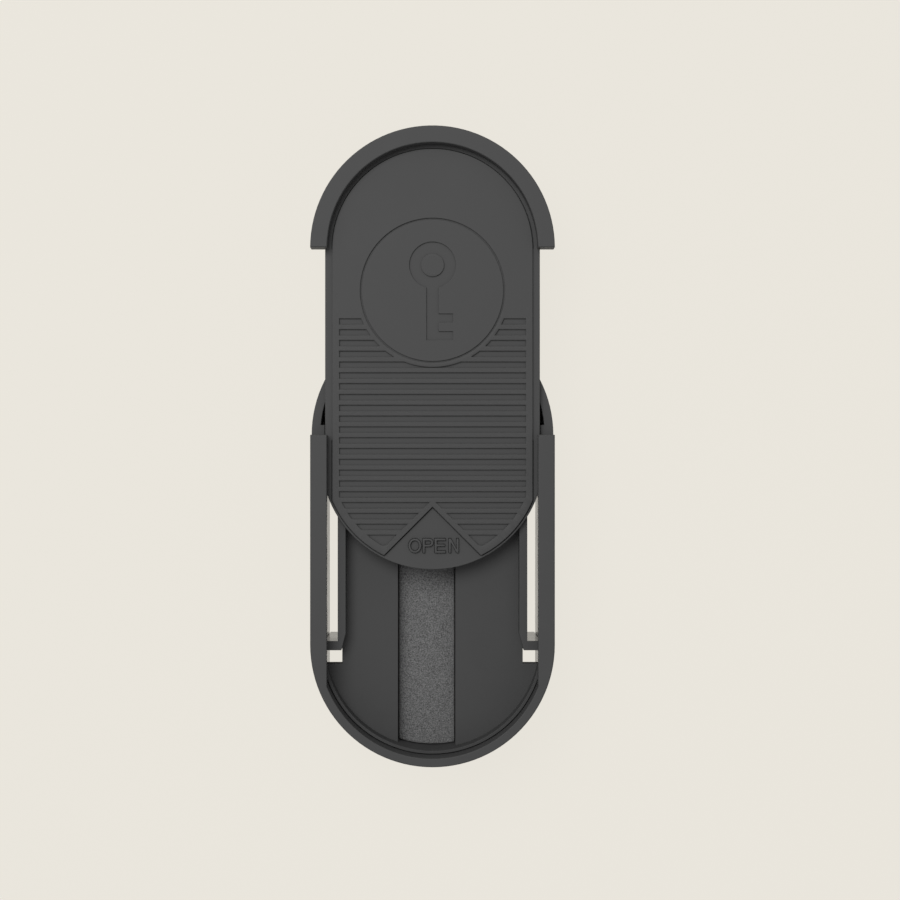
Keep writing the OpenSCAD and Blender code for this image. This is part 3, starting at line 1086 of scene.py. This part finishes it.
    def build_word(self) -> bpy.types.Object:
        """Makes the raised word in the arrow cut, each letter from its own strokes.

        Returns:
            The word.
        """
        outlines = [outline for letter in self.letters() for outline in letter]
        word = flat_body("lid_word", outlines, self.flange_top - self.word_sink,
                         self.flange_top + self.word_relief, self.word_fillet)
        smooth_edges(word)
        dress(word, Finish.LID)
        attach(word, self.body)
        return word

    @staticmethod
    def oval(x: float, y: float, half_w: float, half_h: float) -> Outline:
        """Draws an oval.

        Args:
            x: its middle across.
            y: its middle upwards.
            half_w: half its width.
            half_h: half its height.

        Returns:
            Its outline.
        """
        count = 40
        angles = [math.tau * i / count for i in range(count)]
        return [(x + half_w * math.cos(a), y + half_h * math.sin(a)) for a in angles]

    def letter_o(self, x: float, w: float, h: float, s: float) -> list[Outline]:
        """The round letter: an oval ring."""
        mid = (x + w / 2, h / 2)
        return [self.oval(*mid, w / 2, h / 2), self.oval(*mid, w / 2 - s, h / 2 - s)]

    @staticmethod
    def letter_p(x: float, w: float, h: float, s: float) -> list[Outline]:
        """Draws the letter with a stem and a bowl.

        Args:
            x: its left side.
            w: its width.
            h: its height.
            s: its stroke.

        Returns:
            Its outline and the hole in it.
        """
        bowl = h * 0.28
        mid = (x + w - bowl, h - bowl)
        outer, inner = arc(mid, bowl, -90, 90, LETTER_STEP), arc(mid, bowl - s, -90, 90, LETTER_STEP)
        outside = [(x, 0), (x + s, 0), (x + s, h - 2 * bowl)] + outer + [(x, h)]
        inside = [(x + s, h - 2 * bowl + s)] + inner + [(x + s, h - s)]
        return [outside, inside]

    @staticmethod
    def letter_e(x: float, w: float, h: float, s: float) -> list[Outline]:
        """Draws the letter with a stem and three bars, with the sizes of letter_p.

        Returns:
            Its outline.
        """
        right, mid, short = x + w, h / 2 + s * 0.2, 0.12
        return [[(x, 0), (right, 0), (right, s), (x + s, s), (x + s, mid - s / 2),
                 (right - short, mid - s / 2), (right - short, mid + s / 2), (x + s, mid + s / 2),
                 (x + s, h - s), (right, h - s), (right, h), (x, h)]]

    @staticmethod
    def letter_n(x: float, w: float, h: float, s: float) -> list[Outline]:
        """Draws the letter with two stems and a slanting stroke, with the sizes of letter_p.

        Returns:
            Its outline.
        """
        right, slant = x + w, s * 1.9
        return [[(x, 0), (x + s, 0), (x + s, h - slant), (right - s, 0), (right, 0), (right, h),
                 (right - s, h), (right - s, slant), (x + s, h), (x, h)]]


@dataclass
class Back:
    """The rear cover with its rubber face, screws, magnets and steel plate."""

    body: str = "base"
    cover_fillet: float = 0.12
    pad_fillet: float = 0.2

    def build(self) -> list[bpy.types.Object]:
        """Makes the cover and its rubber face, and dresses the metal pieces.

        Returns:
            The pieces.
        """
        cover = copy_of("rear_cover", "cover_moulding")
        round_edges(cover, [(self.cover_fillet, anywhere)], segments=2)
        dress(cover, Finish.SHELL)
        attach(cover, self.body)
        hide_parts("rear_cover")
        pad = copy_of("grip_pad", "grip_rubber")
        round_edges(pad, [(self.pad_fillet, anywhere)])
        dress(pad, Finish.RUBBER)
        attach(pad, self.body)
        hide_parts("grip_pad")
        metal = {"cover_screws": Finish.SCREW, "keeper_plate": Finish.KEEPER}
        for row in ("upper", "middle", "lower"):
            for side in ("left", "right"):
                metal[f"magnet_{row}_{side}"] = Finish.NICKEL
        for node, finish in metal.items():
            dress(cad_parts[node], finish)
        return [cover, pad, *(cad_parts[node] for node in metal)]


# ------------------------------------------------------------------ studio


@dataclass
class Studio:
    """Pale floor, soft light from the upper left and a camera straight above the box."""

    picture_px: float = 900.0
    scale_mm_px: float = 0.1796
    centre_px: tuple[float, float] = (432.5, 446.0)
    look_y: float = 16.87
    rails_top: float = 18.0
    distance: float = 278.0
    backdrop: str = "eae6dd"
    sensor_mm: float = 36.0
    clip_m: tuple[float, float] = (0.01, 10.0)
    floor_gap: float = 0.05
    floor_half: float = 1500.0
    glow: float = 0.95
    dome: float = 0.5
    key_place: tuple[float, float, float] = (-186.0, 262.0, 590.0)
    key_size: float = 420.0
    key_power: float = 2.5

    def build(self) -> list[bpy.types.Object]:
        """Makes the camera, the floor, the sky and the lamp.

        Returns:
            The floor.
        """
        self.build_camera()
        floor = self.build_floor()
        self.build_sky()
        self.build_lamp()
        return [floor]

    def build_camera(self) -> None:
        """Makes the camera that frames the box as the photograph does."""
        data = bpy.data.cameras.new("camera")
        camera = bpy.data.objects.new("camera", data)
        bpy.context.scene.collection.objects.link(camera)
        data.sensor_width = self.sensor_mm
        data.lens = self.sensor_mm * self.distance / (self.scale_mm_px * self.picture_px)
        half = self.picture_px / 2
        data.shift_x = (half - self.centre_px[0]) / self.picture_px
        data.shift_y = (self.centre_px[1] - half) / self.picture_px
        data.clip_start, data.clip_end = self.clip_m
        camera.location = (0, self.look_y * MM, (self.rails_top + self.distance) * MM)
        bpy.context.scene.camera = camera

    def build_floor(self) -> bpy.types.Object:
        """Makes the floor, which shows the backdrop's colour with the box's faint shadow.

        Returns:
            The floor.
        """
        bpy.ops.object.select_all(action="DESELECT")
        bpy.ops.mesh.primitive_plane_add(size=2 * self.floor_half * MM,
                                         location=(0, 0, -self.floor_gap * MM))
        floor = bpy.context.object
        floor.name = "floor"
        material = bpy.data.materials.new("pale floor")
        material.use_nodes = True
        tree = material.node_tree
        tree.nodes.clear()
        colour = linear(self.backdrop)
        matte = add_node(tree, "ShaderNodeBsdfDiffuse", Color=colour)
        glow = add_node(tree, "ShaderNodeEmission", Color=colour, Strength=1.0)
        path = add_node(tree, "ShaderNodeLightPath")
        seen = path.outputs["Is Camera Ray"]
        for ray in ("Is Glossy Ray", "Is Transmission Ray"):
            seen = add_node(tree, "ShaderNodeMath", {"operation": "MAXIMUM"}, in_0=seen,
                            in_1=path.outputs[ray]).outputs[0]
        share = add_node(tree, "ShaderNodeMath", {"operation": "MULTIPLY"}, in_0=seen, in_1=self.glow)
        mix = add_node(tree, "ShaderNodeMixShader", Fac=share.outputs[0], in_1=matte.outputs[0],
                       in_2=glow.outputs[0])
        add_node(tree, "ShaderNodeOutputMaterial", Surface=mix.outputs[0])
        floor.data.materials.append(material)
        return floor

    def build_sky(self) -> None:
        """Makes the even dome of light, which the camera sees in the backdrop's colour."""
        world = bpy.data.worlds.new("studio")
        bpy.context.scene.world = world
        world.use_nodes = True
        tree = world.node_tree
        tree.nodes.clear()
        path = add_node(tree, "ShaderNodeLightPath")
        dome = add_node(tree, "ShaderNodeBackground", Color=grey(1.0), Strength=self.dome)
        seen = add_node(tree, "ShaderNodeBackground", Color=linear(self.backdrop), Strength=1.0)
        mix = add_node(tree, "ShaderNodeMixShader", Fac=path.outputs["Is Camera Ray"],
                       in_1=dome.outputs[0], in_2=seen.outputs[0])
        add_node(tree, "ShaderNodeOutputWorld", Surface=mix.outputs[0])

    def build_lamp(self) -> None:
        """Makes the soft round key light, high above the box and a little to the upper left."""
        data = bpy.data.lights.new("key light", "AREA")
        data.shape = "DISK"
        data.size = self.key_size * MM
        data.energy = self.key_power
        lamp = bpy.data.objects.new("key light", data)
        bpy.context.scene.collection.objects.link(lamp)
        lamp.location = Vector(self.key_place) * MM
        lamp.visible_camera = False
        aim = Vector((0, self.look_y, self.rails_top)) * MM - lamp.location
        lamp.rotation_euler = aim.to_track_quat("-Z", "Y").to_euler()


def main() -> None:
    """Builds the studio and the box's sub-assemblies in order."""
    bpy.context.scene.view_settings.view_transform = "Standard"
    parts: list[Any] = [Studio(), Shell(), KeyTray(), SlideLid(), Back()]
    for part in parts:
        for piece in part.build():
            log.info("%s: %s, %d faces", type(part).__name__, piece.name, len(piece.data.polygons))


if __name__ == "__main__":
    main()
